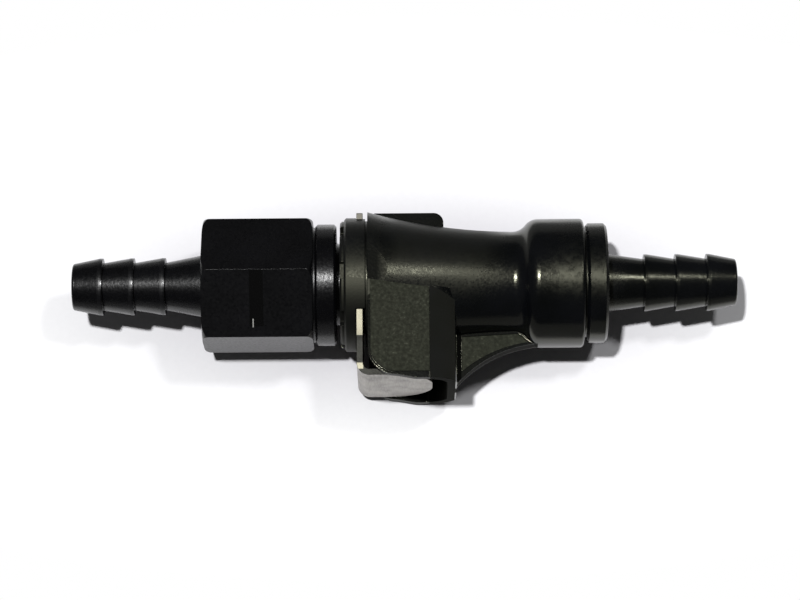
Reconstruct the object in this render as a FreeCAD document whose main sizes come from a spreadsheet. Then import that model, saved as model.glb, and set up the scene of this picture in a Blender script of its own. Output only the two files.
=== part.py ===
import FreeCAD, Part
import Sketcher
import math
import os

# Two-part plastic quick disconnect coupling, shown joined: a hex-bodied insert half and a
# thumb-latch body half, each with a hose barb. X runs along the flow axis from the insert
# barb's tip, +Z is up as it lies on its side flats, and the thumb pad is on the -Y side.
# Lengths are millimetres.

SIZES = {
    # hose barbs, both ends
    "bore_r": 2.4,
    "barb_pitch": 4.1,
    "crest_r": 3.75,
    "crest_land": 0.4,
    "valley_depth": 0.63,
    "tip_drop": 0.65,
    "tip_round": 0.35,
    "insert_first_crest": 4.0,
    "insert_root_r": 4.1,
    "insert_root_run": 5.0,
    "cap_root_r": 3.85,
    "cap_root_run": 5.0,
    "cap_tip_run": 3.9,
    # hex of the insert half
    "hex_across": 15.9,
    "hex_len": 14.45,
    "hex_corner": 1.0,
    "cavity_back": 0.9,
    "bore_flare": 1.5,
    # insert nose
    "socket_depth": 5.25,
    "spigot_wall": 1.4,
    "press_gap": 0.03,
    "collar_r": 8.0,
    "collar_step_drop": 0.4,
    "collar_step": 0.3,
    "collar_len": 2.75,
    "collar_edge": 0.3,
    "joint_seal_at": 0.4,
    "nose_r": 5.4,
    "nose_len": 13.3,
    "nose_edge": 0.4,
    "groove_wall": 0.7,
    "guide_step": 0.3,
    "seat_width": 1.0,
    "seat_len": 1.0,
    "lock_gap": 0.1,
    "lock_groove_side": 0.2,
    "nose_seal_back": 5.7,
    "face_gap": 0.05,
    # insert poppet valve
    "valve_stroke": 4.0,
    "guide_len": 2.0,
    "hub_r": 1.5,
    "hub_len": 7.6,
    "rod_r": 0.85,
    "rod_gap": 0.08,
    "rod_end_gap": 1.0,
    "poppet_tip_len": 1.0,
    "poppet_flow_gap": 0.6,
    "poppet_flange_len": 1.0,
    "poppet_spring_r": 2.2,
    "poppet_spring_wire": 0.25,
    "poppet_spring_coils": 6,
    "flow_hole_r": 0.85,
    "guide_hole_at": 2.75,
    # O-rings: cord radius by place, groove length is the cord plus its side room
    "seal_cord": 0.42,
    "seal_small_cord": 0.35,
    "poppet_seal_cord": 0.55,
    "seal_side": 0.2,
    # body shell
    "running_gap": 0.05,
    "lip_gap": 0.5,
    "lip_len": 0.55,
    "lip_step": 0.45,
    "lip_notches": 8,
    "lip_notch_w": 2.2,
    "lip_notch_depth": 1.15,
    "rim_bridge": 1.5,
    "rim_edge": 0.25,
    "step_len": 0.3,
    "step_drop": 0.4,
    "head_flare": 0.77,
    "flare_radius": 75.0,
    "flare_len": 19.0,
    "neck_wall": 1.4,
    "swell_len": 3.4,
    "barrel_wall": 2.5,
    "barrel_len": 5.9,
    "barrel_edge": 0.5,
    "barrel_seat_gap": 5.1,
    "barrel_step": 0.55,
    # thumb shroud, fin and web
    "flat_z": 8.9,
    "grip_rise": 0.25,
    "shroud_len": 11.5,
    "pad_recess": 0.7,
    "shroud_slope": 0.45,
    "shroud_slope_len": 2.6,
    "shroud_wall": 1.2,
    "shroud_top_y": 2.2,
    "shroud_corner": 4.0,
    "shroud_nose_round": 3.6,
    "cavity_floor": 2.15,
    "grip_inset": 0.35,
    "grip_len": 7.6,
    "grip_top_y": 1.4,
    "grip_drop": 1.0,
    "fin_start": 0.9,
    "fin_len": 9.1,
    "fin_drop": 0.18,
    "fin_thick": 2.6,
    "fin_root": 1.35,
    "fin_round": 1.3,
    "web_thick": 2.6,
    "web_radius": 16.0,
    "web_low": 0.6,
    "web_high": 0.2,
    "web_recess": 0.2,
    "web_rim": 0.7,
    "recess_top": 0.55,
    "recess_slope": 0.4,
    # thumb latch plate
    "plate_thick": 0.8,
    "plate_side": 1.4,
    "plate_gap": 0.2,
    "plate_front_gap": 0.1,
    "plate_tab_half": 3.4,
    "slot_room": 0.35,
    "slot_front": 1.5,
    "latch_hole_gap": 0.3,
    "latch_offset": 1.0,
    "plate_top_gap": 0.1,
    "press_travel": 1.2,
    "pad_y": 13.6,
    "pad_len": 9.8,
    "pad_side_gap": 0.35,
    "pad_tip_len": 4.6,
    "pad_tip_radius": 6.6,
    "bend_radius": 1.6,
    "latch_spring_at": 5.4,
    "latch_spring_r": 1.7,
    "latch_spring_wire": 0.23,
    "latch_spring_coils": 5,
    "spring_gap": 0.02,
    "spring_seat_r": 2.3,
    "spring_seat_depth": 0.7,
    # body valve: fixed stem and sliding sleeve
    "stem_gap": 0.15,
    "stem_seal_at": 0.8,
    "stem_taper": 0.8,
    "stem_head_len": 2.2,
    "stem_rod_r": 1.4,
    "stem_hole_at": 3.0,
    "stem_hole_r": 1.0,
    "stem_disc_len": 1.4,
    "sleeve_len": 8.0,
    "sleeve_lip_len": 1.6,
    "sleeve_bore_step": 0.7,
    "sleeve_gap": 0.1,
    "sleeve_seal_at": 1.0,
    "sleeve_spring_r": 4.5,
    "sleeve_spring_wire": 0.38,
    "sleeve_spring_coils": 3,
    # end cap with the body barb
    "cap_neck_drop": 0.7,
    "cap_neck_len": 0.3,
    "cap_r": 7.9,
    "cap_len": 2.7,
    "cap_edge": 0.35,
    "cap_mouth_wall": 1.6,
    "cap_mouth_len": 2.0,
    "cap_funnel": 2.6,
    "cap_seal_at": 1.0,
}

doc = FreeCAD.newDocument("coupling")
sheet = doc.addObject("Spreadsheet::Sheet", "Dims")
for row, (alias, number) in enumerate(SIZES.items(), 1):
    sheet.set(f"A{row}", alias)
    sheet.set(f"B{row}", str(number))
    sheet.setAlias(f"B{row}", alias)
doc.recompute()


class Size:
    """A length that carries both its number and the sheet expression that gives it."""

    def __init__(self, value, text):
        self.value = value
        self.text = text

    def join(self, other, sign, value):
        return Size(value, f"({self.text} {sign} {text_of(other)})")

    def __add__(self, other):
        return self.join(other, "+", self.value + value_of(other))

    def __sub__(self, other):
        return self.join(other, "-", self.value - value_of(other))

    def __mul__(self, other):
        return self.join(other, "*", self.value * value_of(other))

    def __truediv__(self, other):
        return self.join(other, "/", self.value / value_of(other))

    def __neg__(self):
        return Size(-self.value, f"(-1 * {self.text})")


def value_of(size):
    return size.value if isinstance(size, Size) else float(size)


def text_of(size):
    return size.text if isinstance(size, Size) else repr(float(size))


def root(size):
    return Size(math.sqrt(size.value), f"sqrt({size.text})")


class Sheet:
    """The named sizes, read back from the spreadsheet."""

    def __getattr__(self, alias):
        return Size(float(sheet.get(alias)), f"Dims.{alias}")


d = Sheet()

# radii and heights that follow from their neighbours
body_bore_r = d.nose_r + d.running_gap
latch_hole_r = d.nose_r + d.latch_hole_gap
lock_groove_r = latch_hole_r - d.latch_offset - d.lock_gap
nose_cavity_r = lock_groove_r - d.groove_wall
guide_r = nose_cavity_r + d.guide_step
socket_r = guide_r + d.spigot_wall
seat_r = nose_cavity_r - d.seat_width
poppet_flange_r = nose_cavity_r - d.poppet_flow_gap
stem_head_r = seat_r - d.stem_gap
sleeve_bore_r = seat_r + d.sleeve_bore_step
plate_half = latch_hole_r + d.plate_side
rim_r = plate_half + d.plate_gap + d.rim_bridge
lip_r = rim_r - d.lip_step
step_r = rim_r - d.step_drop
head_r = rim_r + d.head_flare
neck_r = body_bore_r + d.neck_wall
barrel_bore_r = body_bore_r + d.barrel_step
barrel_r = barrel_bore_r + d.barrel_wall
wall_z = d.flat_z - d.grip_rise
pad_half = wall_z - d.shroud_wall - d.pad_side_gap
shroud_y = d.pad_y + d.pad_recess
cavity_y = body_bore_r + d.cavity_floor
plate_top_y = head_r - d.plate_top_gap
tab_foot_y = root(plate_half * plate_half - d.plate_tab_half * d.plate_tab_half) - d.latch_offset
tab_top_y = root(plate_top_y * plate_top_y - d.plate_tab_half * d.plate_tab_half)
slot_len = d.plate_front_gap + d.plate_thick + d.slot_room
cap_neck_r = d.cap_r - d.cap_neck_drop
cap_mouth_r = barrel_bore_r - d.cap_mouth_wall
collar_step_r = d.collar_r - d.collar_step_drop
valley_r = d.crest_r - d.valley_depth
tip_r = d.crest_r - d.tip_drop
fin_y = head_r - d.fin_drop
fin_root_y = neck_r - d.fin_root
web_low_y = shroud_y - d.web_low
web_high_y = barrel_r - d.web_high
recess_top_y = neck_r + d.recess_top

# stations along the axis
hex_x = d.insert_first_crest + d.barb_pitch * 2 + d.insert_root_run
hex_end = hex_x + d.hex_len
collar_x = hex_end + d.collar_step
collar_end = collar_x + d.collar_len
lip_x = collar_end + d.lip_gap
rim_x = lip_x + d.lip_len
plate_x = rim_x + d.slot_front + d.plate_front_gap
head_x = rim_x + d.slot_front + slot_len + d.step_len
nose_end = collar_end + d.nose_len
face_x = nose_end + d.face_gap
stem_x = face_x - d.valve_stroke
neck_x = head_x + d.flare_len
barrel_x = neck_x + d.swell_len
barrel_end = barrel_x + d.barrel_len
seat_x = barrel_end - d.barrel_seat_gap
sleeve_end = face_x + d.sleeve_len
cap_x = barrel_end + d.cap_neck_len
cap_end = cap_x + d.cap_len
cap_crest = cap_end + d.cap_root_run
tip_end = cap_crest + d.barb_pitch * 2 + d.cap_tip_run
shroud_end = head_x + d.shroud_len
socket_x = hex_end - d.socket_depth
poppet_x = stem_x - d.face_gap


# drawing helpers
def plane_of(body, role):
    return next(f for f in body.Origin.OriginFeatures if f.Role == role)


def new_body(label):
    body = doc.addObject("PartDesign::Body", label)
    body.Label = label
    return body


def new_sketch(body, name, plane, offset=None):
    sketch = body.newObject("Sketcher::SketchObject", name)
    sketch.AttachmentSupport = [(plane_of(body, plane), "")]
    sketch.MapMode = "FlatFace"
    if offset is not None:
        sketch.setExpression("AttachmentOffset.Base.z", text_of(offset))
    return sketch


def pin_point(sketch, geometry, end, x, y):
    """Dimensions a point from the sketch origin, each bound to its expression."""
    for kind, size in (("DistanceX", x), ("DistanceY", y)):
        constraint = Sketcher.Constraint(kind, -1, 1, geometry, end, value_of(size))
        index = sketch.addConstraint(constraint)
        if isinstance(size, Size):
            sketch.setExpression(f"Constraints[{index}]", size.text)


def arc_between(start, end, radius):
    """Arc from start to end; a positive radius turns left, a negative one turns right."""
    chord = end - start
    half = chord.Length / 2
    rise = math.sqrt(max(radius * radius - half * half, 1e-6))
    left = FreeCAD.Vector(-chord.y, chord.x, 0).normalize()
    centre = (start + end) / 2 + left * (rise if radius > 0 else -rise)
    first, last = (start, end) if radius > 0 else (end, start)
    angles = [math.atan2(p.y - centre.y, p.x - centre.x) for p in (first, last)]
    if angles[1] < angles[0]:
        angles[1] += 2 * math.pi
    circle = Part.Circle(centre, FreeCAD.Vector(0, 0, 1), abs(radius))
    return Part.ArcOfCircle(circle, *angles)


def outline(sketch, points):
    """Closed outline. A point is (x, y), or (x, y, radius, turn) where an arc leaves it."""
    spots = [FreeCAD.Vector(value_of(p[0]), value_of(p[1]), 0) for p in points]
    ends = []
    for i, point in enumerate(points):
        start, end = spots[i], spots[(i + 1) % len(points)]
        if len(point) == 2:
            index = sketch.addGeometry(Part.LineSegment(start, end))
            ends.append((index, 1, 2))
            continue
        turn = point[3]
        index = sketch.addGeometry(arc_between(start, end, value_of(point[2]) * turn))
        ends.append((index, 1, 2) if turn > 0 else (index, 2, 1))
        radius = sketch.addConstraint(
            Sketcher.Constraint("Radius", index, value_of(point[2]))
        )
        sketch.setExpression(f"Constraints[{radius}]", text_of(point[2]))
    for i, point in enumerate(points):
        index, first, _ = ends[i]
        before, _, last = ends[i - 1]
        sketch.addConstraint(Sketcher.Constraint("Coincident", before, last, index, first))
        pin_point(sketch, index, first, point[0], point[1])
    return sketch


def circle(sketch, x, y, radius):
    centre = FreeCAD.Vector(value_of(x), value_of(y), 0)
    index = sketch.addGeometry(
        Part.Circle(centre, FreeCAD.Vector(0, 0, 1), value_of(radius))
    )
    pin_point(sketch, index, 3, x, y)
    limit = sketch.addConstraint(Sketcher.Constraint("Radius", index, value_of(radius)))
    sketch.setExpression(f"Constraints[{limit}]", text_of(radius))
    return sketch


def turn(body, name, points, kind="Revolution"):
    """Turns a closed outline of (x, radius) points about the flow axis."""
    sketch = outline(new_sketch(body, name + "Profile", "XY_Plane"), points)
    feature = body.newObject("PartDesign::" + kind, name)
    feature.Profile = sketch
    feature.ReferenceAxis = (sketch, ["H_Axis"])
    feature.Angle = 360
    return feature


def extrude(body, name, sketch, length, kind="Pad", both=False, reverse=False):
    feature = body.newObject("PartDesign::" + kind, name)
    feature.Profile = sketch
    feature.setExpression("Length", text_of(length))
    if both:
        feature.SideType = "Symmetric"
    feature.Reversed = reverse
    return feature


def ring_of(body, feature, count):
    pattern = body.newObject("PartDesign::PolarPattern", feature.Name + "Ring")
    pattern.Originals = [feature]
    pattern.Axis = (plane_of(body, "X_Axis"), [""])
    pattern.Angle = 360
    pattern.setExpression("Occurrences", text_of(count))
    body.Tip = pattern
    return pattern


AXIS_X = FreeCAD.Rotation(FreeCAD.Vector(0, 1, 0), 90)
AXIS_Y = FreeCAD.Rotation(FreeCAD.Vector(1, 0, 0), -90)


def o_ring(label, x, centre_r, cord):
    """O-ring about the flow axis."""
    ring = doc.addObject("Part::Torus", label)
    ring.Label = label
    ring.setExpression("Radius1", text_of(centre_r))
    ring.setExpression("Radius2", text_of(cord))
    ring.Placement = FreeCAD.Placement(FreeCAD.Vector(value_of(x), 0, 0), AXIS_X)
    ring.setExpression("Placement.Base.x", text_of(x))
    return ring


def spring(label, start, end, mean_r, wire, coils):
    """Open-coil compression spring between two seats, start and end along its axis."""
    rise = end - start - (wire + d.spring_gap) * 2
    helix = doc.addObject("Part::Helix", label + "_path")
    helix.setExpression("Radius", text_of(mean_r))
    helix.setExpression("Height", text_of(rise))
    helix.setExpression("Pitch", text_of(rise / coils))
    section = doc.addObject("Part::Circle", label + "_wire")
    section.setExpression("Radius", text_of(wire))
    section.Placement = FreeCAD.Placement(
        FreeCAD.Vector(value_of(mean_r), 0, 0),
        FreeCAD.Rotation(FreeCAD.Vector(1, 0, 0), 90),
    )
    section.setExpression("Placement.Base.x", text_of(mean_r))
    coil = doc.addObject("Part::Sweep", label)
    coil.Label = label
    coil.Sections = [section]
    coil.Spine = (helix, [])
    coil.Solid = True
    coil.Frenet = True
    return coil


def place_spring(coil, rotation, base):
    coil.Placement = FreeCAD.Placement(
        FreeCAD.Vector(*[value_of(size) for size in base]), rotation
    )
    for axis, size in zip("xyz", base):
        if isinstance(size, Size):
            coil.setExpression("Placement.Base." + axis, size.text)


# insert half
def insert_barb():
    """Hose barb and hex in one moulding, with the socket that takes the nose."""
    body = new_body("insert_barb")
    first = d.insert_first_crest
    hex_r = d.hex_across / 2 / math.cos(math.pi / 6)
    points = [
        (Size(0.0, "0"), d.bore_r),
        (Size(0.0, "0"), tip_r - d.tip_round, d.tip_round, -1),
        (d.tip_round, tip_r),
        (first - d.crest_land, d.crest_r),
        (first, d.crest_r),
        (first, valley_r),
    ]
    for step in (1, 2):
        crest = first + d.barb_pitch * step
        points += [
            (crest - d.crest_land, d.crest_r),
            (crest, d.crest_r),
            (crest, valley_r),
        ]
    points += [
        (hex_x, d.insert_root_r),
        (hex_x, hex_r - d.hex_corner, d.hex_corner, -1),
        (hex_x + d.hex_corner, hex_r),
        (hex_end - d.hex_corner, hex_r, d.hex_corner, -1),
        (hex_end, hex_r - d.hex_corner),
        (hex_end, socket_r),
        (socket_x, socket_r),
        (socket_x, nose_cavity_r),
        (socket_x - d.cavity_back, nose_cavity_r),
        (socket_x - d.cavity_back - d.bore_flare, d.bore_r),
    ]
    turn(body, "BarbAndHex", points)
    flat = new_sketch(body, "HexFlatOutline", "YZ_Plane", hex_x - 0.5)
    low, high = d.hex_across / 2, d.hex_across
    outline(flat, [(low, -high), (high, -high), (high, high), (low, high)])
    cut = extrude(body, "HexFlat", flat, d.hex_len + 1.0, "Pocket", reverse=True)
    ring_of(body, cut, Size(6, "6"))
    return body


def insert_nose():
    """Collar and nose that plug into the body half; the lock groove takes the latch plate."""
    body = new_body("insert_nose")
    spigot_r = socket_r - d.press_gap
    groove_r = socket_r - d.seal_cord * 2 - d.press_gap * 2
    groove_x = socket_x + d.guide_len + d.joint_seal_at
    groove_end = groove_x + d.seal_cord * 2 + d.seal_side
    lock_x = plate_x - d.lock_groove_side
    lock_end = plate_x + d.plate_thick + d.lock_groove_side
    seal_end = nose_end - d.nose_seal_back
    seal_x = seal_end - d.seal_small_cord * 2 - d.seal_side
    seal_r = body_bore_r - d.seal_small_cord * 2 - d.press_gap * 2
    turn(body, "Nose", [
        (socket_x, guide_r),
        (socket_x, spigot_r),
        (groove_x, spigot_r),
        (groove_x, groove_r),
        (groove_end, groove_r),
        (groove_end, spigot_r),
        (hex_end, spigot_r),
        (hex_end, collar_step_r),
        (collar_x, collar_step_r),
        (collar_x, d.collar_r - d.collar_edge),
        (collar_x + d.collar_edge, d.collar_r),
        (collar_end - d.collar_edge, d.collar_r),
        (collar_end, d.collar_r - d.collar_edge),
        (collar_end, d.nose_r),
        (lock_x, d.nose_r),
        (lock_x, lock_groove_r),
        (lock_end, lock_groove_r),
        (lock_end, d.nose_r),
        (seal_x, d.nose_r),
        (seal_x, seal_r),
        (seal_end, seal_r),
        (seal_end, d.nose_r),
        (nose_end - d.nose_edge, d.nose_r),
        (nose_end, d.nose_r - d.nose_edge),
        (nose_end, seat_r),
        (nose_end - d.seat_len, seat_r),
        (nose_end - d.seat_len, nose_cavity_r),
        (socket_x + d.guide_len, nose_cavity_r),
        (socket_x + d.guide_len, guide_r),
    ])
    o_ring(
        "insert_joint_seal",
        (groove_x + groove_end) / 2,
        socket_r - d.seal_cord - d.press_gap,
        d.seal_cord,
    )
    o_ring(
        "insert_nose_seal",
        (seal_x + seal_end) / 2,
        body_bore_r - d.seal_small_cord - d.press_gap,
        d.seal_small_cord,
    )
    return body


def insert_guide():
    """Spider that guides the poppet's rod, clamped between the nose and the socket floor."""
    body = new_body("insert_guide")
    end = socket_x + d.guide_len
    bore = d.rod_r + d.rod_gap
    turn(body, "Guide", [
        (socket_x, bore),
        (socket_x, guide_r - d.press_gap),
        (end, guide_r - d.press_gap),
        (end, d.hub_r),
        (socket_x + d.hub_len, d.hub_r),
        (socket_x + d.hub_len, bore),
    ])
    sketch = circle(
        new_sketch(body, "FlowHoleOutline", "YZ_Plane", socket_x - 0.5),
        Size(0.0, "0"), d.guide_hole_at, d.flow_hole_r,
    )
    hole = extrude(body, "FlowHole", sketch, d.guide_len + 1.0, "Pocket", reverse=True)
    ring_of(body, hole, Size(6, "6"))
    return body


def insert_poppet():
    """Flush-faced poppet, held back from its seat by the body's fixed stem."""
    body = new_body("insert_poppet")
    tip_x = poppet_x - d.poppet_tip_len
    groove_x = tip_x - d.poppet_seal_cord * 2
    flange_x = groove_x - d.poppet_flange_len
    centre_r = seat_r - d.face_gap * 2
    groove_r = centre_r - d.poppet_seal_cord
    zero = Size(0.0, "0")
    turn(body, "Poppet", [
        (socket_x + d.rod_end_gap, zero),
        (socket_x + d.rod_end_gap, d.rod_r),
        (flange_x, d.rod_r),
        (flange_x, poppet_flange_r),
        (groove_x, poppet_flange_r),
        (groove_x, groove_r),
        (tip_x, groove_r),
        (tip_x, seat_r - d.face_gap * 2),
        (poppet_x, seat_r - d.face_gap * 2),
        (poppet_x, zero),
    ])
    o_ring(
        "insert_poppet_seal",
        (groove_x + tip_x) / 2,
        centre_r + d.press_gap,
        d.poppet_seal_cord - d.press_gap / 2,
    )
    start = socket_x + d.guide_len
    wire = d.poppet_spring_wire
    coil = spring(
        "insert_spring", start, flange_x, d.poppet_spring_r, wire, d.poppet_spring_coils
    )
    place_spring(coil, AXIS_X, (start + wire + d.spring_gap, 0, 0))
    return body


# body half
def web_outline(inset):
    """Corner points of the web below the neck, and of its recess when inset is given."""
    left = shroud_end - d.shroud_wall / 2
    right = barrel_x + 0.4
    if inset is None:
        return [
            (left, Size(0.0, "0")),
            (left, -web_low_y),
            (shroud_end, -web_low_y, d.web_radius, -1),
            (right, -web_high_y),
            (right, Size(0.0, "0")),
        ]
    return [
        (shroud_end + inset, -recess_top_y),
        (shroud_end + inset, -web_low_y + inset * 2.4, d.web_radius + inset, -1),
        (right - inset * 2.4, -web_high_y + inset * 0.2),
        (right - inset * 4.5, -recess_top_y + d.recess_slope),
    ]


def body_shell():
    """Body moulding: rim, flared neck, barrel, thumb shroud, top fin and lower web."""
    body = new_body("body_shell")
    zero = Size(0.0, "0")
    flare_start = neck_x - d.flare_len
    middle = neck_x + d.swell_len / 2
    mid_r = (neck_r + barrel_r) / 2
    rise = barrel_r - neck_r
    swell_r = (d.swell_len * d.swell_len + rise * rise) / (rise * 4)
    turn(body, "Shell", [
        (lip_x, zero),
        (lip_x, lip_r - d.rim_edge),
        (lip_x + d.rim_edge, lip_r),
        (rim_x, lip_r),
        (rim_x, rim_r - d.rim_edge),
        (rim_x + d.rim_edge, rim_r),
        (head_x - d.step_len, rim_r),
        (head_x - d.step_len, step_r),
        (head_x, step_r),
        (head_x, head_r, d.flare_radius, 1),
        (neck_x, neck_r, swell_r, 1),
        (middle, mid_r, swell_r, -1),
        (barrel_x, barrel_r),
        (barrel_end - d.barrel_edge, barrel_r, d.barrel_edge, -1),
        (barrel_end, barrel_r - d.barrel_edge),
        (barrel_end, zero),
    ])
    plan = new_sketch(body, "ShroudOutline", "XZ_Plane", d.shroud_top_y)
    round_x = shroud_end - d.shroud_corner
    round_z = wall_z - d.shroud_corner
    outline(plan, [
        (head_x, -wall_z),
        (round_x, -wall_z, d.shroud_corner, 1),
        (shroud_end, -round_z),
        (shroud_end, round_z, d.shroud_corner, 1),
        (round_x, wall_z),
        (head_x, wall_z),
    ])
    extrude(body, "Shroud", plan, shroud_y - d.shroud_top_y)
    grip = new_sketch(body, "GripOutline", "XY_Plane")
    grip_x = head_x + d.grip_inset
    front_y = -shroud_y + d.shroud_slope
    grip_y = front_y + d.grip_inset
    grip_round = d.shroud_nose_round - d.grip_inset
    outline(grip, [
        (grip_x, -d.grip_top_y),
        (grip_x, grip_y + grip_round, grip_round, 1),
        (grip_x + grip_round, grip_y),
        (grip_x + d.grip_len, grip_y),
        (grip_x + d.grip_len, -d.grip_top_y - d.grip_drop),
    ])
    extrude(body, "Grip", grip, d.flat_z * 2, both=True)
    corner = new_sketch(body, "ShroudNoseOutline", "XY_Plane")
    outline(corner, [
        (head_x, front_y + d.shroud_nose_round, d.shroud_nose_round, 1),
        (head_x + d.shroud_nose_round, front_y),
        (head_x + d.shroud_nose_round + d.shroud_slope_len, -shroud_y),
        (head_x + d.shroud_nose_round + d.shroud_slope_len, -shroud_y - 1.0),
        (head_x - 1.0, -shroud_y - 1.0),
        (head_x - 1.0, front_y + d.shroud_nose_round),
    ])
    extrude(body, "ShroudNose", corner, wall_z * 2 + 1.0, "Pocket", both=True)
    web = outline(new_sketch(body, "WebOutline", "XY_Plane"), web_outline(None))
    extrude(body, "Web", web, d.web_thick, both=True)
    fin = new_sketch(body, "FinOutline", "XY_Plane")
    fin_x = head_x + d.fin_start
    fin_end = fin_x + d.fin_len
    outline(fin, [
        (fin_x, fin_root_y),
        (fin_end, fin_root_y),
        (fin_end, fin_y - d.fin_round, d.fin_round, 1),
        (fin_end - d.fin_round, fin_y),
        (fin_x, fin_y),
    ])
    extrude(body, "Fin", fin, d.fin_thick, both=True)
    flats = new_sketch(body, "FlatsOutline", "YZ_Plane", lip_x - 1.0)
    reach = head_r + 5.0
    outline(flats, [(-reach, d.flat_z), (reach, d.flat_z), (reach, reach), (-reach, reach)])
    cut = extrude(body, "SideFlat", flats, barrel_x - lip_x, "Pocket", reverse=True)
    ring_of(body, cut, Size(2, "2"))
    cavity = new_sketch(body, "CavityOutline", "XZ_Plane", cavity_y)
    half = wall_z - d.shroud_wall
    rear = shroud_end - d.shroud_wall
    corner = d.shroud_corner - d.shroud_wall
    outline(cavity, [
        (head_x - 1.0, -half),
        (rear - corner, -half, corner, 1),
        (rear, -half + corner),
        (rear, half - corner, corner, 1),
        (rear - corner, half),
        (head_x - 1.0, half),
    ])
    extrude(body, "Cavity", cavity, shroud_y, "Pocket", reverse=True)
    seat = new_sketch(body, "SpringSeatOutline", "XZ_Plane", cavity_y - d.spring_seat_depth)
    circle(seat, plate_x + d.latch_spring_at, zero, d.spring_seat_r)
    extrude(body, "SpringSeat", seat, d.spring_seat_depth + 1.0, "Pocket", reverse=True)
    slot = new_sketch(body, "PlateSlotOutline", "YZ_Plane", rim_x + d.slot_front)
    wide = plate_half + d.plate_gap
    slot_centre = d.press_travel - d.latch_offset
    outline(slot, [
        (-head_r * 2, -wide),
        (slot_centre, -wide, wide, 1),
        (slot_centre, wide),
        (-head_r * 2, wide),
    ])
    extrude(body, "PlateSlot", slot, slot_len, "Pocket", reverse=True)
    tab = new_sketch(body, "TabSlotOutline", "YZ_Plane", rim_x + d.slot_front)
    tab_wide = d.plate_tab_half + d.plate_gap
    outline(tab, [
        (zero, -tab_wide),
        (head_r * 2, -tab_wide),
        (head_r * 2, tab_wide),
        (zero, tab_wide),
    ])
    extrude(body, "TabSlot", tab, slot_len, "Pocket", reverse=True)
    turn(body, "Bore", [
        (lip_x - 1.0, zero),
        (lip_x - 1.0, body_bore_r),
        (seat_x, body_bore_r),
        (seat_x, barrel_bore_r),
        (barrel_end + 1.0, barrel_bore_r),
        (barrel_end + 1.0, zero),
    ], "Groove")
    notch = new_sketch(body, "LipNotchOutline", "YZ_Plane", lip_x - 0.5)
    half_w = d.lip_notch_w / 2
    outline(notch, [
        (-half_w, lip_r - d.lip_notch_depth),
        (half_w, lip_r - d.lip_notch_depth),
        (half_w, rim_r + 1.0),
        (-half_w, rim_r + 1.0),
    ])
    cut = extrude(body, "LipNotch", notch, d.lip_len + 0.5, "Pocket", reverse=True)
    ring_of(body, cut, d.lip_notches)
    for name, turned in (("Near", False), ("Far", True)):
        depth = d.web_thick / 2 - d.web_recess
        level = -depth if turned else depth
        sketch = new_sketch(body, name + "RecessOutline", "XY_Plane", level)
        outline(sketch, web_outline(d.web_rim))
        extrude(body, name + "Recess", sketch, d.web_recess + 1.0, "Pocket", reverse=not turned)
    return body


def thumb_latch():
    """Bent stainless plate: its hole catches the insert's groove, its pad is pressed."""
    body = new_body("thumb_latch")
    low = -d.pad_y
    inner = d.bend_radius - d.plate_thick
    pad_end = plate_x + d.pad_len
    straight = pad_end - d.pad_tip_len
    strip = new_sketch(body, "StripOutline", "XY_Plane")
    outline(strip, [
        (plate_x, head_r * 2),
        (plate_x, low + d.bend_radius, d.bend_radius, 1),
        (plate_x + d.bend_radius, low),
        (pad_end, low),
        (pad_end, low + d.plate_thick),
        (plate_x + d.bend_radius, low + d.plate_thick, inner, -1),
        (plate_x + d.plate_thick, low + d.bend_radius),
        (plate_x + d.plate_thick, head_r * 2),
    ])
    extrude(body, "Strip", strip, plate_half * 2, both=True)
    reach = d.pad_y * 2
    frame = [(-reach, -reach), (reach, -reach), (reach, reach), (-reach, reach)]
    plate = new_sketch(body, "PlateOutline", "YZ_Plane", plate_x - 1.0)
    outline(plate, frame)
    outline(plate, [
        (low - 1.0, -pad_half),
        (low + d.bend_radius, -pad_half),
        (low + d.bend_radius * 2, -plate_half),
        (-d.latch_offset, -plate_half, plate_half, 1),
        (tab_foot_y, -d.plate_tab_half),
        (tab_top_y, -d.plate_tab_half, plate_top_y, 1),
        (tab_top_y, d.plate_tab_half),
        (tab_foot_y, d.plate_tab_half, plate_half, 1),
        (-d.latch_offset, plate_half),
        (low + d.bend_radius * 2, plate_half),
        (low + d.bend_radius, pad_half),
        (low - 1.0, pad_half),
    ])
    extrude(body, "PlateTrim", plate, d.pad_len + 2.0, "Pocket", reverse=True)
    pad = new_sketch(body, "PadOutline", "XZ_Plane", d.pad_y - d.bend_radius * 2)
    frame = [
        (straight, -reach),
        (pad_end + 1.0, -reach),
        (pad_end + 1.0, reach),
        (straight, reach),
        (straight, pad_half, d.pad_tip_radius, -1),
        (pad_end, Size(0.0, "0"), d.pad_tip_radius, -1),
        (straight, -pad_half),
    ]
    outline(pad, frame)
    extrude(body, "PadTrim", pad, d.bend_radius * 2 + 1.0, "Pocket", reverse=True)
    hole = new_sketch(body, "LatchHoleOutline", "YZ_Plane", plate_x - 1.0)
    circle(hole, -d.latch_offset, Size(0.0, "0"), latch_hole_r)
    extrude(body, "LatchHole", hole, d.plate_thick + 1.2, "Pocket", reverse=True)
    start = cavity_y - d.spring_seat_depth
    under_pad = d.pad_y - d.plate_thick
    wire = d.latch_spring_wire
    coil = spring(
        "latch_spring", start, under_pad, d.latch_spring_r, wire, d.latch_spring_coils
    )
    spot = (plate_x + d.latch_spring_at, -under_pad + wire + d.spring_gap, 0)
    place_spring(coil, AXIS_Y, spot)
    return body


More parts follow.
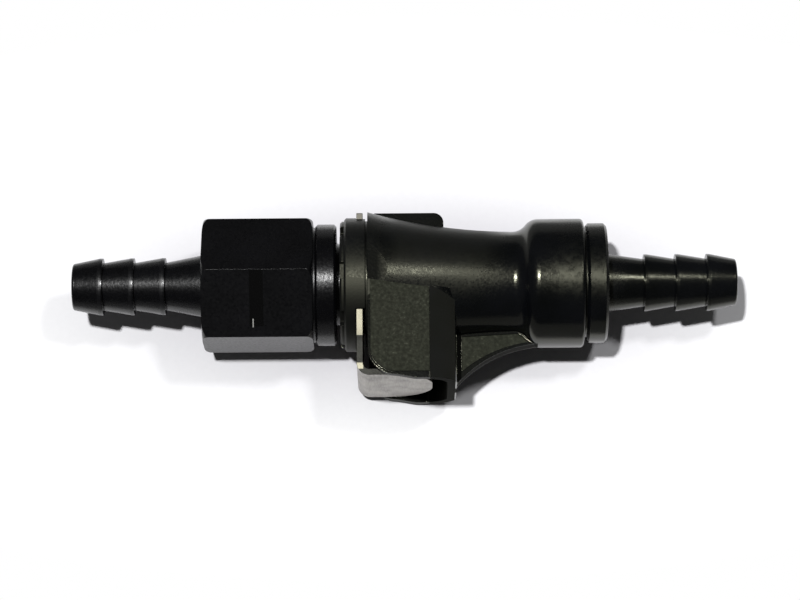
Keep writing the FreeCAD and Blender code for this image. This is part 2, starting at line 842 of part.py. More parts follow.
def valve_stem():
    """Fixed stem that opens the insert's poppet; its disc sits in the barrel's step."""
    body = new_body("valve_stem")
    zero = Size(0.0, "0")
    groove_x = stem_x + d.stem_seal_at
    groove_end = groove_x + d.seal_small_cord * 2 + d.seal_side / 2
    centre_r = stem_head_r + d.face_gap - d.seal_small_cord
    groove_r = centre_r - d.seal_small_cord - d.press_gap
    disc_end = seat_x + d.stem_disc_len
    turn(body, "Stem", [
        (stem_x, zero),
        (stem_x, stem_head_r),
        (groove_x, stem_head_r),
        (groove_x, groove_r),
        (groove_end, groove_r),
        (groove_end, stem_head_r),
        (stem_x + d.stem_head_len, stem_head_r),
        (stem_x + d.stem_head_len + d.stem_taper, d.stem_rod_r),
        (seat_x, d.stem_rod_r),
        (seat_x, barrel_bore_r - d.press_gap),
        (disc_end, barrel_bore_r - d.press_gap),
        (disc_end, zero),
    ])
    sketch = circle(
        new_sketch(body, "StemHoleOutline", "YZ_Plane", seat_x - 0.5),
        zero, d.stem_hole_at, d.stem_hole_r,
    )
    hole = extrude(body, "StemHole", sketch, d.stem_disc_len + 1.0, "Pocket", reverse=True)
    ring_of(body, hole, Size(6, "6"))
    o_ring("stem_seal", (groove_x + groove_end) / 2, centre_r, d.seal_small_cord)
    return body


def valve_sleeve():
    """Sliding sleeve that closes the body half round the stem's head."""
    body = new_body("valve_sleeve")
    outer = body_bore_r - d.sleeve_gap
    groove_x = face_x + d.sleeve_lip_len + d.sleeve_seal_at
    groove_end = groove_x + d.seal_small_cord * 2 + d.seal_side
    centre_r = body_bore_r - d.seal_small_cord - d.press_gap
    groove_r = centre_r - d.seal_small_cord - d.press_gap
    turn(body, "Sleeve", [
        (face_x, seat_r),
        (face_x, outer),
        (groove_x, outer),
        (groove_x, groove_r),
        (groove_end, groove_r),
        (groove_end, outer),
        (sleeve_end, outer),
        (sleeve_end, sleeve_bore_r),
        (face_x + d.sleeve_lip_len, sleeve_bore_r),
        (face_x + d.sleeve_lip_len, seat_r),
    ])
    o_ring("sleeve_seal", (groove_x + groove_end) / 2, centre_r, d.seal_small_cord)
    wire = d.sleeve_spring_wire
    coil = spring(
        "sleeve_spring", sleeve_end, seat_x, d.sleeve_spring_r, wire, d.sleeve_spring_coils
    )
    place_spring(coil, AXIS_X, (sleeve_end + wire + d.spring_gap, 0, 0))
    return body


def body_barb():
    """End cap and hose barb in one moulding; its spigot plugs the barrel."""
    body = new_body("body_barb")
    spigot_x = seat_x + d.stem_disc_len
    spigot_r = barrel_bore_r - d.press_gap
    groove_x = spigot_x + d.cap_seal_at
    groove_end = groove_x + d.seal_cord * 2 + d.seal_side
    groove_r = barrel_bore_r - d.seal_cord * 2 - d.press_gap * 2
    mouth_end = spigot_x + d.cap_mouth_len
    points = [
        (spigot_x, cap_mouth_r),
        (spigot_x, spigot_r),
        (groove_x, spigot_r),
        (groove_x, groove_r),
        (groove_end, groove_r),
        (groove_end, spigot_r),
        (barrel_end, spigot_r),
        (barrel_end, cap_neck_r),
        (cap_x, cap_neck_r),
        (cap_x, d.cap_r - d.cap_edge),
        (cap_x + d.cap_edge, d.cap_r),
        (cap_end - d.cap_edge, d.cap_r),
        (cap_end, d.cap_r - d.cap_edge),
        (cap_end, d.cap_root_r),
    ]
    for step in (0, 1, 2):
        crest = cap_crest + d.barb_pitch * step
        points += [
            (crest, valley_r),
            (crest, d.crest_r),
            (crest + d.crest_land, d.crest_r),
        ]
    points += [
        (tip_end - d.tip_round, tip_r, d.tip_round, -1),
        (tip_end, tip_r - d.tip_round),
        (tip_end, d.bore_r),
        (mouth_end + d.cap_funnel, d.bore_r),
        (mouth_end, cap_mouth_r),
    ]
    turn(body, "CapAndBarb", points)
    o_ring(
        "cap_seal",
        (groove_x + groove_end) / 2,
        barrel_bore_r - d.seal_cord - d.press_gap,
        d.seal_cord,
    )
    return body


NODES = [
    "insert_barb", "insert_nose", "insert_joint_seal", "insert_nose_seal",
    "insert_guide", "insert_poppet", "insert_poppet_seal", "insert_spring",
    "body_shell", "thumb_latch", "latch_spring", "valve_stem", "stem_seal",
    "valve_sleeve", "sleeve_seal", "sleeve_spring", "body_barb", "cap_seal",
]

for build in (
    insert_barb, insert_nose, insert_guide, insert_poppet, body_shell,
    thumb_latch, valve_stem, valve_sleeve, body_barb,
):
    build()
doc.recompute()

for item in doc.Objects:
    if {"Invalid", "Error"} & set(item.State):
        raise RuntimeError(f"{item.Label} did not build: {item.State}")

os.makedirs("parts", exist_ok=True)
finished = {name: doc.getObjectsByLabel(name)[0] for name in NODES}
for name, item in finished.items():
    shape = item.Shape
    if shape.isNull() or not shape.isValid() or len(shape.Solids) != 1:
        raise RuntimeError(f"{name} is not one valid solid")
for name, item in finished.items():
    item.Shape.exportStep(f"parts/{name}.step")
    box = item.Shape.BoundBox
    print(
        f"{name:20s} {item.Shape.Volume:9.2f}  x {box.XMin:7.2f} {box.XMax:7.2f}"
        f"  y {box.YMin:7.2f} {box.YMax:7.2f}  z {box.ZMin:7.2f} {box.ZMax:7.2f}"
    )
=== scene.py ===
import math
from collections import namedtuple

import bpy
from mathutils import Matrix, Vector


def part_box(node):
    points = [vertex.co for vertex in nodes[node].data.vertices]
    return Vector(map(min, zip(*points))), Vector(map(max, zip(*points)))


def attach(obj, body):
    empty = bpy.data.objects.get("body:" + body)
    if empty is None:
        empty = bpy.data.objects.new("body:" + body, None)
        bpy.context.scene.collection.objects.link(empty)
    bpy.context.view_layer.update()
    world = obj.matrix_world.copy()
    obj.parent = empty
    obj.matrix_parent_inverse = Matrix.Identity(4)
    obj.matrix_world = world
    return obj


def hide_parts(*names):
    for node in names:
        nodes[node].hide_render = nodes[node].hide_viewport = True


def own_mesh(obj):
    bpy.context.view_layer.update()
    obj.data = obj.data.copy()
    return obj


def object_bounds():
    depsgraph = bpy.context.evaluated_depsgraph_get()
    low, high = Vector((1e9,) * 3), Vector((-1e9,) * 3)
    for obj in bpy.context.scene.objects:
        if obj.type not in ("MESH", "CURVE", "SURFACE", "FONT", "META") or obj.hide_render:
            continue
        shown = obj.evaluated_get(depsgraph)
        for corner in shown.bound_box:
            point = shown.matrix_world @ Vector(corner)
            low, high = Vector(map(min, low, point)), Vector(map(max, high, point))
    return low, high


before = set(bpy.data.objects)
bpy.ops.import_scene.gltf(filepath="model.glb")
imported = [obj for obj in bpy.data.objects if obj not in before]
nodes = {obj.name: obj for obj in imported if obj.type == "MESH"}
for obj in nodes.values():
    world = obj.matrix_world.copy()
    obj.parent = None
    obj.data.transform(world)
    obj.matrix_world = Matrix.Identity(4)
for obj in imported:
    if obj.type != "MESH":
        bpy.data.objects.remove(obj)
cad_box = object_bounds()
# the operators that make the springs act on whatever is selected
for item in bpy.context.selected_objects:
    item.select_set(False)

MM = 0.001
FLOOR_Z = cad_box[0][2]

# Places where a finish changes, in millimetres from the mouth of the insert's bore.
# Hose barb and hex of the insert half:
CREST_X, CREST_HALF_X = (3.6, 7.7, 11.8), 0.21
HEX_X, HEX_HALF_X = 24.4, 7.4
HEX_BAND_HALF_X = 0.9
HEX_BAND_Y, HEX_BAND_HALF_Y = -3.4, 3.3
# painted glint: a small light grey mark on the hex's lower face, where a recess edge catches light
GLINT_X, GLINT_HALF_X = 23.95, 0.07
GLINT_Y, GLINT_HALF_Y = -6.3, 0.5
# Head, grip panel and shroud of the body moulding:
FLAT_FROM_Y = 4.0
GRIP_FACE_Z, GRIP_FACE_HALF_Z = 8.9, 0.08
GRIP_X, GRIP_HALF_X = 42.95, 3.85
GRIP_TOP_SLOPE, GRIP_TOP_Y = 0.13, 3.75
SHROUD_BACK_X, SHROUD_WALL_X = 50.1, 3.3
SHROUD_TOP_SLOPE, SHROUD_TOP_Y = 0.47, 19.95
# Web under the neck, and scuffs on the swell:
WEB_FACE_Z, WEB_FACE_HALF_Z = 1.1, 0.05
WEB_X, WEB_HALF_X = 55.5, 4.6
WEB_TOP_Y = -6.9
WEB_WALL_Z = 1.05
WEB_END_X, WEB_SIDE_Y, WEB_SIDE_Z = 61.0, -5.5, 1.45
SCUFF_X, SCUFF_HALF_X, SCUFF_HALF_Y = 66.0, 3.4, 4.2
# Latch plate and its bend:
PLATE_EDGE_Z, PLATE_EDGE_HALF_Z = 7.1, 0.05
PLATE_TOP_Y = 6.0
PLATE_SHINE_Y, PLATE_SHINE_HALF_Y = -6.25, 2.1
BEND_SHINE_Y, BEND_SHINE_HALF_Y = -12.4, 0.4
BEND_X, BEND_HALF_X = 36.6, 1.6

# Roughness of the places above
CREST_ROUGH, BAND_ROUGH = 0.36, 0.22
BROAD_ROUGH, STEEP_ROUGH = 0.6, 0.13
POLISHED_ROUGH, MATTE_ROUGH = 0.14, 0.52
SHROUD_BACK_ROUGH, WEB_WALL_ROUGH = 1.0, 0.95

# A face is level as the size of its normal's Z nears 1, and looks outward, to the thumb
# pad's side, when its normal's Y is under this
NEARLY_LEVEL, LEVEL = 0.93, 0.995
OUTWARD_Y = -0.5

# Rounding and relief of every moulded or stamped piece
BEVEL_SAMPLES, BUMP_STRENGTH = 6, 0.6

# Coil springs: sides of the round wire, and steps in one turn
WIRE_SIDES, TURN_STEPS = 16, 32

# Card, in metres. Its painted shade, a grey close round the object, fades out at CARD_GREY_REACH
# along X and Y, and the camera sees it turn plain white between these two multiples of that reach.
CARD_SIZE, CARD_MIDDLE, CARD_ROUGH = 8.0, (0.044, 0.001), 0.9
CARD_GREY_REACH = (0.08, 0.028, 1.0)
CARD_WHITE_FROM, CARD_WHITE_TO = 1.0, 1.4

# Strength of the room's even light, then each lamp's name, place, size and power, in
# metres and watts
ROOM_LIGHT = 0.045
LAMP_AIM = (0.043, 0, 0)
LAMPS = (
    ("key_lamp", (-0.37, 0.02, 2.4), 0.12, 66.0),
    ("side_lamp", (0.253, 0.13, 0.55), 0.07, 1.0),
)

# Camera: metres, millimetres and degrees
TARGET = Vector((0.043, -0.00207, 0.0))
CAMERA_DISTANCE = 0.434
CAMERA_HEIGHT_ANGLE, CAMERA_ROLL = 76.6, -0.45
LENS_MM, SENSOR_MM = 148.5, 36.0

# the Object point, its X along the part, its Y across it, and the size of its Z
Place = namedtuple("Place", "point along across depth")


def linear(hex_code):
    """An sRGB hex colour as the linear colour that shaders take."""
    channels = [int(hex_code[i:i + 2], 16) / 255 for i in (0, 2, 4)]
    flat = [c / 12.92 if c <= 0.04045 else ((c + 0.055) / 1.055) ** 2.4 for c in channels]
    return (*flat, 1.0)


def grey(value):
    """A grey of that linear value."""
    return (value, value, value, 1.0)


def add(tree, kind, settings=None, **links):
    """Adds a shader node, sets its properties and sockets, and links named or numbered inputs."""
    node = tree.nodes.new("ShaderNode" + kind)
    for key, value in (settings or {}).items():
        if isinstance(key, int) or key in node.inputs:
            node.inputs[key].default_value = value
        else:
            setattr(node, key, value)
    for key, source in links.items():
        numbered = key[0] == "i" and key[1:].isdigit()
        tree.links.new(source, node.inputs[int(key[1:]) if numbered else key])
    return node


def new_material(name, shine=0.5, tint="FFFFFF"):
    """A material; shine is how strongly the bare surface mirrors, and tint is its mirror colour."""
    material = bpy.data.materials.new(name)
    material.use_nodes = True
    tree = material.node_tree
    tree.nodes.clear()
    output = tree.nodes.new("ShaderNodeOutputMaterial")
    shader = tree.nodes.new("ShaderNodeBsdfPrincipled")
    shader.inputs["Specular IOR Level"].default_value = shine
    shader.inputs["Specular Tint"].default_value = linear(tint)
    tree.links.new(shader.outputs[0], output.inputs[0])
    return material, tree, shader


def size_of(tree, value):
    """The value without its sign."""
    return add(tree, "Math", {"operation": "ABSOLUTE"}, i0=value).outputs[0]


def place_of(tree):
    """Where a shaded point lies on the part."""
    point = tree.nodes.new("ShaderNodeTexCoord").outputs["Object"]
    along, across, height = add(tree, "SeparateXYZ", Vector=point).outputs
    return Place(point, along, across, size_of(tree, height))


def noise(tree, point, size_mm, detail=3.0, rough=0.55):
    """Noise whose lumps are about size_mm across."""
    settings = {"Scale": 1 / (size_mm * MM), "Detail": detail, "Roughness": rough}
    return add(tree, "TexNoise", settings, Vector=point).outputs["Fac"]


def ramp(tree, fac, stops):
    """A colour that changes with fac; each stop is a position and its colour."""
    node = add(tree, "ValToRGB", Fac=fac)
    ends = node.color_ramp.elements
    for element, (position, colour) in zip(ends, (stops[0], stops[-1])):
        element.position = position
        element.color = colour
    for position, colour in stops[1:-1]:
        ends.new(position).color = colour
    return node.outputs["Color"]


def by_place(tree, value, stops_mm):
    """A grey level that changes along value; each stop is a place in mm and its level."""
    first, last = stops_mm[0][0], stops_mm[-1][0]
    share = add(tree, "MapRange", {1: first * MM, 2: last * MM}, i0=value).outputs[0]
    reach = last - first
    stops = [((place - first) / reach, grey(level)) for place, level in stops_mm]
    return ramp(tree, share, stops)


def blend(tree, fac, first, second):
    """First where fac is 0, second where it is 1; second may be a plain colour."""
    if isinstance(second, tuple):
        settings = {"data_type": "RGBA", 7: second}
        return add(tree, "Mix", settings, i0=fac, i6=first).outputs[2]
    return add(tree, "Mix", {"data_type": "RGBA"}, i0=fac, i6=first, i7=second).outputs[2]


def multiply(tree, first, second):
    """First times second, colour by colour."""
    settings = {"data_type": "RGBA", "blend_type": "MULTIPLY", 0: 1.0}
    return add(tree, "Mix", settings, i6=first, i7=second).outputs[2]


def within(tree, value, middle_mm, half_mm):
    """1 where value is within half_mm of middle_mm, 0 elsewhere."""
    settings = {"operation": "COMPARE", 1: middle_mm * MM, 2: half_mm * MM}
    return add(tree, "Math", settings, i0=value).outputs[0]


def over(tree, value, limit):
    """1 where value is over limit, in metres for a place, 0 elsewhere."""
    return add(tree, "Math", {"operation": "GREATER_THAN", 1: limit}, i0=value).outputs[0]


def under(tree, value, limit):
    """1 where value is under limit, in metres for a place, 0 elsewhere."""
    return add(tree, "Math", {"operation": "LESS_THAN", 1: limit}, i0=value).outputs[0]


def slanted(tree, place, slope):
    """Across plus slope times along, which stays the same all the way up a slanted edge."""
    settings = {"operation": "MULTIPLY_ADD", 1: slope}
    return add(tree, "Math", settings, i0=place.along, i2=place.across).outputs[0]


def all_of(tree, *masks):
    """1 where every mask is 1."""
    product = masks[0]
    for mask in masks[1:]:
        settings = {"operation": "MULTIPLY"}
        product = add(tree, "Math", settings, i0=product, i1=mask).outputs[0]
    return product


def either(tree, *masks):
    """1 where any of the masks is 1."""
    joined = masks[0]
    for mask in masks[1:]:
        joined = add(tree, "Math", {"operation": "MAXIMUM"}, i0=joined, i1=mask).outputs[0]
    return joined


def finish_surface(tree, shader, tone, gloss, height, depth_mm, edge_mm=0.16):
    """Joins tone, gloss and relief to the shader; moulded edges are rounded by edge_mm."""
    tree.links.new(tone, shader.inputs["Base Color"])
    tree.links.new(gloss, shader.inputs["Roughness"])
    settings = {"samples": BEVEL_SAMPLES, "Radius": edge_mm * MM}
    soft = add(tree, "Bevel", settings).outputs[0]
    settings = {"Strength": BUMP_STRENGTH, "Distance": depth_mm * MM}
    bump = add(tree, "Bump", settings, Height=height, Normal=soft)
    tree.links.new(bump.outputs[0], shader.inputs["Normal"])


def hex_nylon():
    """Moulded near-black nylon: matte hex with a dark band and a painted glint, grained barb and
    collar.
    """
    material, tree, shader = new_material("matte_black_nylon", shine=0.36)
    place = place_of(tree)
    cloud = noise(tree, place.point, 5.0, detail=4.0)
    tone = ramp(tree, cloud, [(0.35, linear("030304")), (0.7, linear("070709"))])
    grain = noise(tree, place.point, 0.36, rough=0.65)
    speckle = ramp(tree, grain, [(0.3, grey(0.8)), (0.7, grey(1.2))])
    level = by_place(tree, place.along, [
        (0.0, 0.27), (16.0, 0.27),
        (17.4, 0.32), (31.4, 0.32),
        (32.4, 0.25), (36.0, 0.25), (38.0, 0.34),
    ])
    crests = [within(tree, place.along, middle, CREST_HALF_X) for middle in CREST_X]
    level = blend(tree, either(tree, *crests), level, grey(CREST_ROUGH))
    gloss = multiply(tree, level, speckle)
    band = all_of(
        tree,
        within(tree, place.along, HEX_X, HEX_BAND_HALF_X),
        within(tree, place.across, HEX_BAND_Y, HEX_BAND_HALF_Y),
    )
    gloss = blend(tree, band, gloss, grey(BAND_ROUGH))
    tone = blend(tree, band, tone, linear("050505"))
    # painted glint: a light grey mark where the edge of a recess in the hex face catches light
    painted_glint = all_of(
        tree,
        within(tree, place.along, GLINT_X, GLINT_HALF_X),
        within(tree, place.across, GLINT_Y, GLINT_HALF_Y),
    )
    tone = blend(tree, painted_glint, tone, linear("8C8C88"))
    hexagon = within(tree, place.along, HEX_X, HEX_HALF_X)
    relief = blend(tree, hexagon, grain, grey(0.5))
    finish_surface(tree, shader, tone, gloss, relief, depth_mm=0.03, edge_mm=0.05)
    return material


def body_panels(tree, place, below_grip_top):
    """1 on the spark-grained faces: the grip's two sides and the web's two sides."""
    grip = all_of(
        tree,
        within(tree, place.depth, GRIP_FACE_Z, GRIP_FACE_HALF_Z),
        within(tree, place.along, GRIP_X, GRIP_HALF_X),
        below_grip_top,
    )
    web = all_of(
        tree,
        within(tree, place.depth, WEB_FACE_Z, WEB_FACE_HALF_Z),
        within(tree, place.along, WEB_X, WEB_HALF_X),
        under(tree, place.across, WEB_TOP_Y * MM),
    )
    return either(tree, grip, web)


def body_gloss(tree, place, grain, below_grip_top):
    """Roughness of the body moulding outside its grained panels."""
    normal = tree.nodes.new("ShaderNodeTexCoord").outputs["Normal"]
    facing = add(tree, "SeparateXYZ", Vector=normal).outputs
    level_face = size_of(tree, facing[2])

    # grained satin along the moulding, glossy at the foot of the neck
    level = by_place(tree, place.along, [
        (34.0, 0.5), (38.8, 0.46),
        (42.0, 0.3), (52.0, 0.32),
        (57.0, 0.2), (61.5, 0.2),
        (64.5, 0.29), (70.5, 0.31),
        (73.0, 0.21), (87.0, 0.22),
    ])
    speckle = ramp(tree, grain, [(0.3, grey(0.75)), (0.7, grey(1.28))])
    satin = multiply(tree, level, speckle)

    # broad sheen on the fin's side of the neck, smooth steep sides, dark top of the head
    broad = all_of(
        tree,
        by_place(tree, place.across, [(0.5, 0.0), (5.0, 1.0)]),
        by_place(tree, place.along, [(41.0, 0.0), (43.0, 1.0), (54.0, 1.0), (57.5, 0.0)]),
    )
    satin = blend(tree, broad, satin, grey(BROAD_ROUGH))
    side = by_place(tree, place.across, [(-6.5, 1.0), (-3.0, 0.0), (3.0, 0.0), (6.5, 0.3)])
    satin = blend(tree, side, satin, grey(STEEP_ROUGH))
    head = all_of(
        tree,
        add(tree, "MapRange", {1: NEARLY_LEVEL, 2: LEVEL}, i0=level_face).outputs[0],
        by_place(tree, place.along, [
            (36.0, 0.0), (38.6, 0.0), (38.8, 1.0), (40.0, 1.0), (42.6, 0.0),
        ]),
    )
    satin = blend(tree, head, satin, grey(POLISHED_ROUGH))

    # matte rim, grip walls and web, and polished level flats
    matte = either(
        tree,
        all_of(
            tree,
            under(tree, place.along, (GRIP_X + GRIP_HALF_X) * MM),
            below_grip_top,
        ),
        all_of(
            tree,
            under(tree, place.along, WEB_END_X * MM),
            under(tree, place.across, WEB_SIDE_Y * MM),
            under(tree, place.depth, WEB_SIDE_Z * MM),
        ),
    )
    flat = all_of(
        tree,
        over(tree, level_face, LEVEL),
        over(tree, size_of(tree, place.across), FLAT_FROM_Y * MM),
    )
    gloss = blend(tree, matte, satin, grey(MATTE_ROUGH))
    gloss = blend(tree, flat, gloss, grey(POLISHED_ROUGH))

    # dull back wall of the shroud and lower wall of the web
    back = all_of(
        tree,
        within(tree, place.along, SHROUD_BACK_X - SHROUD_WALL_X / 2, SHROUD_WALL_X / 2),
        under(tree, slanted(tree, place, SHROUD_TOP_SLOPE), SHROUD_TOP_Y * MM),
    )
    gloss = blend(tree, back, gloss, grey(SHROUD_BACK_ROUGH))
    web_wall = all_of(
        tree,
        matte,
        under(tree, facing[1], OUTWARD_Y),
        over(tree, place.along, SHROUD_BACK_X * MM),
        under(tree, place.depth, WEB_WALL_Z * MM),
    )
    return blend(tree, web_wall, gloss, grey(WEB_WALL_ROUGH))


def body_nylon():
    """Moulded black glass-filled nylon: satin, with spark-grained faces on the grip and web.

    The neck and barbs are grained, the swell is glossy and a little scuffed, and the flats
    and the steep sides are as smooth as the polished mould that made them.
    """
    material, tree, shader = new_material("satin_glass_filled_nylon", shine=0.3, tint="FFFFE2")
    place = place_of(tree)
    cloud = noise(tree, place.point, 7.0, detail=4.0)
    smooth = ramp(tree, cloud, [(0.35, linear("040506")), (0.7, linear("090A0D"))])
    fine = noise(tree, place.point, 0.32, rough=0.65)
    scuffs = noise(tree, place.point, 0.9, rough=0.7)
    scuffed = all_of(
        tree,
        within(tree, place.along, SCUFF_X, SCUFF_HALF_X),
        within(tree, place.across, 0.0, SCUFF_HALF_Y),
    )
    grain = blend(tree, scuffed, fine, scuffs)
    grip_slant = slanted(tree, place, GRIP_TOP_SLOPE)
    below_grip_top = under(tree, grip_slant, GRIP_TOP_Y * MM)
    gloss = body_gloss(tree, place, grain, below_grip_top)

    panel = body_panels(tree, place, below_grip_top)
    speck = noise(tree, place.point, 0.42, detail=4.0, rough=0.7)
    olive = ramp(tree, speck, [
        (0.35, linear("10120E")), (0.6, linear("191C16")), (0.75, linear("2C3028")),
    ])
    rough = ramp(tree, speck, [(0.4, grey(0.85)), (0.62, grey(0.72)), (0.75, grey(0.5))])
    tone = blend(tree, panel, smooth, olive)
    gloss = blend(tree, panel, gloss, rough)
    relief = blend(tree, panel, grain, speck)
    finish_surface(tree, shader, tone, gloss, relief, depth_mm=0.02, edge_mm=0.12)
    return material


def plain_plastic(name, dark, light, rough, grain_mm, depth_mm):
    """Moulded plastic or rubber: faint cloudy tone, fine grain in the gloss, soft relief."""
    material, tree, shader = new_material(name)
    point = place_of(tree).point
    cloud = noise(tree, point, 4.0, detail=4.0)
    tone = ramp(tree, cloud, [(0.35, linear(dark)), (0.7, linear(light))])
    grain = noise(tree, point, grain_mm, detail=2.0, rough=0.6)
    gloss = ramp(tree, grain, [(0.3, grey(rough - 0.06)), (0.7, grey(rough + 0.08))])
    finish_surface(tree, shader, tone, gloss, grain, depth_mm)
    return material


def stamped_stainless():
    """Stamped stainless sheet: dull and faintly stained, with painted shade on its edge and painted
    highlights on it.
    """
    material, tree, shader = new_material("dull_stamped_stainless")
    place = place_of(tree)
    stain = noise(tree, place.point, 2.4)
    face = ramp(tree, stain, [
        (0.32, linear("83807C")), (0.45, linear("94908B")), (0.7, linear("A5A19B")),
    ])
    top = over(tree, place.across, PLATE_TOP_Y * MM)
    edge = either(tree, within(tree, place.depth, PLATE_EDGE_Z, PLATE_EDGE_HALF_Z), top)
    # painted shade: the plate's edge is darkened as if in shade, a little less on the top tab
    shaded_edge = ramp(tree, stain, [(0.3, linear("1C1C1A")), (0.7, linear("2A2A27"))])
    shaded_edge = blend(tree, top, shaded_edge, linear("4E4C46"))
    bend = all_of(
        tree,
        within(tree, place.across, BEND_SHINE_Y, BEND_SHINE_HALF_Y),
        within(tree, place.along, BEND_X, BEND_HALF_X),
    )
    # painted highlights: brighter tone on the edge along an upright strip and at the bend, where it
    # catches the lamp
    upright = within(tree, place.across, PLATE_SHINE_Y, PLATE_SHINE_HALF_Y)
    painted_highlight = all_of(tree, edge, either(tree, upright, bend))
    highlight_tone = ramp(tree, stain, [(0.3, linear("625F53")), (0.7, linear("777465"))])
    tone = blend(tree, painted_highlight, blend(tree, edge, face, shaded_edge), highlight_tone)
    streak = add(tree, "Mapping", {"Scale": (1.0, 1.0, 0.1)}, Vector=place.point).outputs[0]
    rolled = noise(tree, streak, 0.15, detail=2.0)
    gloss = ramp(tree, rolled, [(0.3, grey(0.34)), (0.7, grey(0.5))])
    finish_surface(tree, shader, tone, gloss, rolled, depth_mm=0.008, edge_mm=0.1)
    shader.inputs["Metallic"].default_value = 1.0
    return material


def spring_wire():
    """Drawn stainless wire: grey, with fine lines drawn along it."""
    material, tree, shader = new_material("drawn_stainless_wire")
    lines = noise(tree, place_of(tree).point, 0.1, detail=2.0)
    tone = ramp(tree, lines, [(0.3, linear("8E8C88")), (0.7, linear("A8A6A2"))])
    gloss = ramp(tree, lines, [(0.3, grey(0.25)), (0.7, grey(0.4))])
    finish_surface(tree, shader, tone, gloss, lines, depth_mm=0.004)
    shader.inputs["Metallic"].default_value = 1.0
    return material


hex_plastic = hex_nylon()
body_plastic = body_nylon()
# dark grey acetal of the valve pieces, plain and slightly waxy
valve_plastic = plain_plastic(
    "plain_dark_acetal", "232527", "2C2E30", rough=0.36, grain_mm=0.5, depth_mm=0.01
)
# black nitrile of the O-rings, dull with a dusty bloom
seal_rubber = plain_plastic(
    "black_nitrile_rubber", "0C0C0C", "131313", rough=0.6, grain_mm=0.25, depth_mm=0.01
)
latch_steel = stamped_stainless()
wire_steel = spring_wire()

# every other node is an O-ring
FINISH = {
    "insert_barb": hex_plastic,
    "insert_nose": hex_plastic,
    "insert_guide": valve_plastic,
    "insert_poppet": valve_plastic,
    "valve_stem": valve_plastic,
    "valve_sleeve": valve_plastic,
    "body_shell": body_plastic,
    "body_barb": body_plastic,
    "thumb_latch": latch_steel,
    "insert_spring": wire_steel,
    "latch_spring": wire_steel,
    "sleeve_spring": wire_steel,
}
for name, item in nodes.items():
    finish = FINISH.get(name, seal_rubber)
    for slot in item.material_slots:
        slot.material = finish
    if not item.material_slots:
        item.data.materials.append(finish)


def coil_spring(name, node, body, axis, seat_mm, wire_mm, coils):
    """Round-wire spring in place of its plain solid.

    It stands on body, along X or Y for an axis of 0 or 1. seat_mm is where its fixed seat
    lies on that axis, and wire_mm the radius of its wire.
    """
    low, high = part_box(node)
    wire = wire_mm * MM
    side = (axis + 1) % 3
    mean_r = (high[side] - low[side]) / 2 - wire
    bpy.ops.mesh.primitive_circle_add(
        vertices=WIRE_SIDES, radius=wire, location=(mean_r, 0, 0), rotation=(math.pi / 2, 0, 0)
    )
    coil = bpy.context.object
    coil.name = name
    bpy.ops.object.transform_apply(location=True, rotation=True, scale=True)
    screw = coil.modifiers.new("turns", "SCREW")
    screw.angle = 2 * math.pi * coils
    screw.screw_offset = high[axis] - low[axis] - 2 * wire
    screw.steps = screw.render_steps = TURN_STEPS * coils
    bpy.ops.object.modifier_apply(modifier=screw.name)
    bpy.ops.object.mode_set(mode="EDIT")
    bpy.ops.mesh.select_all(action="SELECT")
    bpy.ops.mesh.fill_holes(sides=WIRE_SIDES)
    bpy.ops.mesh.normals_make_consistent(inside=False)
    bpy.ops.object.mode_set(mode="OBJECT")
    bpy.ops.object.shade_smooth()
    foot = (low + high) / 2
    foot[axis] = low[axis] + wire
    coil.rotation_euler = ((0, math.pi / 2, 0), (-math.pi / 2, 0, 0))[axis]
    coil.location = foot
    bpy.ops.object.transform_apply(location=True, rotation=True, scale=True)
    coil.data.materials.append(wire_steel)
    coil.select_set(False)
    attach(coil, body)
    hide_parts(node)
    way, seat = [0, 0, 0], [0, 0, 0]
    way[axis], seat[axis] = 1, seat_mm * MM
    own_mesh(coil)


coil_spring(
    "latch_coil", "latch_spring", "body_half",
    axis=1, seat_mm=-6.9, wire_mm=0.23, coils=5,
)
coil_spring(
    "poppet_coil", "insert_spring", "insert_half",
    axis=0, seat_mm=28.4, wire_mm=0.25, coils=6,
)
coil_spring(
    "sleeve_coil", "sleeve_spring", "body_half",
    axis=0, seat_mm=62.0, wire_mm=0.38, coils=3,
)


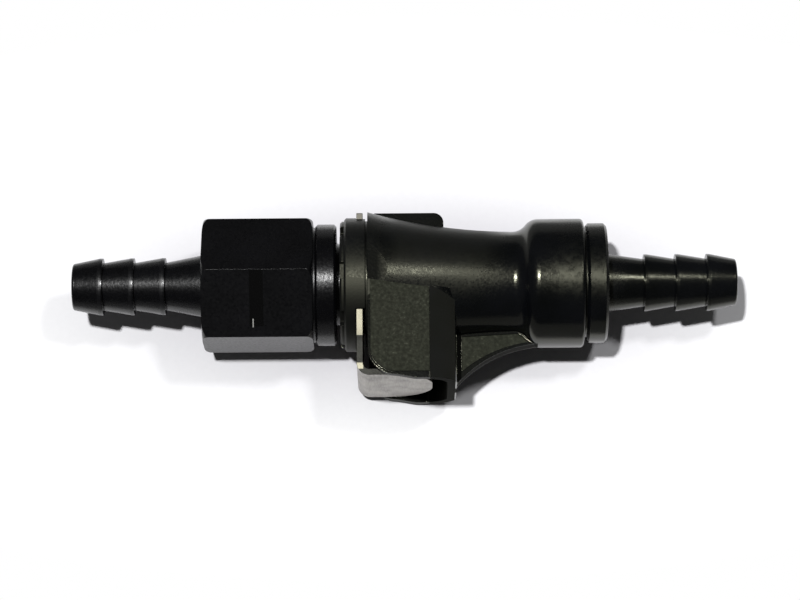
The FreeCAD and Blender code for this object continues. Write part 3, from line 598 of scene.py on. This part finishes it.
def card_paper():
    """White card: plain with a faint tooth, and painted shade that makes it a touch greyer close
    round the object.

    Far from the object the camera sees it as plain white, so that it meets the white room,
    and reflections see it darker, as a room would be there.
    """
    material, tree, shader = new_material("white_card")
    point = place_of(tree).point
    reach = add(tree, "VectorMath", {"operation": "DIVIDE", 1: CARD_GREY_REACH}, i0=point)
    length = add(tree, "VectorMath", {"operation": "LENGTH"}, i0=reach.outputs[0])
    share = length.outputs["Value"]
    # painted shade: the card is greyer close round the object
    shade = ramp(tree, share, [
        (0.0, linear("C5C4C9")), (0.35, linear("CCCBCF")),
        (0.6, linear("E7E7E9")), (0.8, linear("F8F8F8")),
    ])
    fibres = noise(tree, point, 0.8, detail=2.0)
    tooth = ramp(tree, fibres, [(0.3, grey(0.98)), (0.7, grey(1.0))])
    far = ramp(tree, share, [(0.8, grey(1.0)), (1.0, grey(0.2))])
    rays = tree.nodes.new("ShaderNodeLightPath").outputs
    settings = {"data_type": "RGBA", 6: grey(1.0)}
    dim = add(tree, "Mix", settings, i0=rays["Is Glossy Ray"], i7=far).outputs[2]
    tone = multiply(tree, multiply(tree, shade, tooth), dim)
    tree.links.new(tone, shader.inputs["Base Color"])
    shader.inputs["Roughness"].default_value = CARD_ROUGH
    settings = {1: CARD_WHITE_FROM, 2: CARD_WHITE_TO}
    outer = add(tree, "MapRange", settings, i0=share).outputs[0]
    seen = all_of(tree, rays["Is Camera Ray"], outer)
    white = tree.nodes.new("ShaderNodeEmission").outputs[0]
    mixed = add(tree, "MixShader", i0=seen, i1=shader.outputs[0], i2=white)
    output = next(node for node in tree.nodes if node.type == "OUTPUT_MATERIAL")
    tree.links.new(mixed.outputs[0], output.inputs[0])
    return material


def white_card():
    """The floor that the object lies on."""
    bpy.ops.mesh.primitive_plane_add(size=CARD_SIZE, location=(*CARD_MIDDLE, FLOOR_Z))
    card = bpy.context.object
    card.name = "card"
    card.data.materials.append(card_paper())


def lamp(name, place, size, power):
    """A soft round lamp aimed at the object."""
    light = bpy.data.lights.new(name, "AREA")
    light.shape = "DISK"
    light.size = size
    light.energy = power
    item = bpy.data.objects.new(name, light)
    item.location = place
    way = Vector(LAMP_AIM) - Vector(place)
    item.rotation_euler = way.to_track_quat("-Z", "Y").to_euler()
    bpy.context.collection.objects.link(item)


def white_room():
    """A weak even light; the camera sees the room as plain white."""
    world = bpy.data.worlds.new("room")
    world.use_nodes = True
    tree = world.node_tree
    seen = tree.nodes.new("ShaderNodeLightPath").outputs["Is Camera Ray"]
    strength = add(tree, "MapRange", {3: ROOM_LIGHT, 4: 1.0}, i0=seen).outputs[0]
    background = tree.nodes["Background"]
    background.inputs[0].default_value = grey(1)
    tree.links.new(strength, background.inputs[1])
    bpy.context.scene.world = world


def photo_camera():
    """Camera almost overhead, from the thumb pad's side, with the photograph's slight roll."""
    data = bpy.data.cameras.new("camera")
    data.lens = LENS_MM
    data.sensor_width = SENSOR_MM
    camera = bpy.data.objects.new("camera", data)
    angle = math.radians(CAMERA_HEIGHT_ANGLE)
    way = Vector((0, -math.cos(angle), math.sin(angle)))
    camera.location = TARGET + way * CAMERA_DISTANCE
    turn = (TARGET - camera.location).to_track_quat("-Z", "Y").to_matrix()
    roll = Matrix.Rotation(math.radians(CAMERA_ROLL), 3, "Z")
    camera.rotation_euler = (turn @ roll).to_euler()
    bpy.context.collection.objects.link(camera)
    bpy.context.scene.camera = camera


white_card()
for lamp_settings in LAMPS:
    lamp(*lamp_settings)
white_room()
photo_camera()
bpy.context.scene.view_settings.view_transform = "Standard"
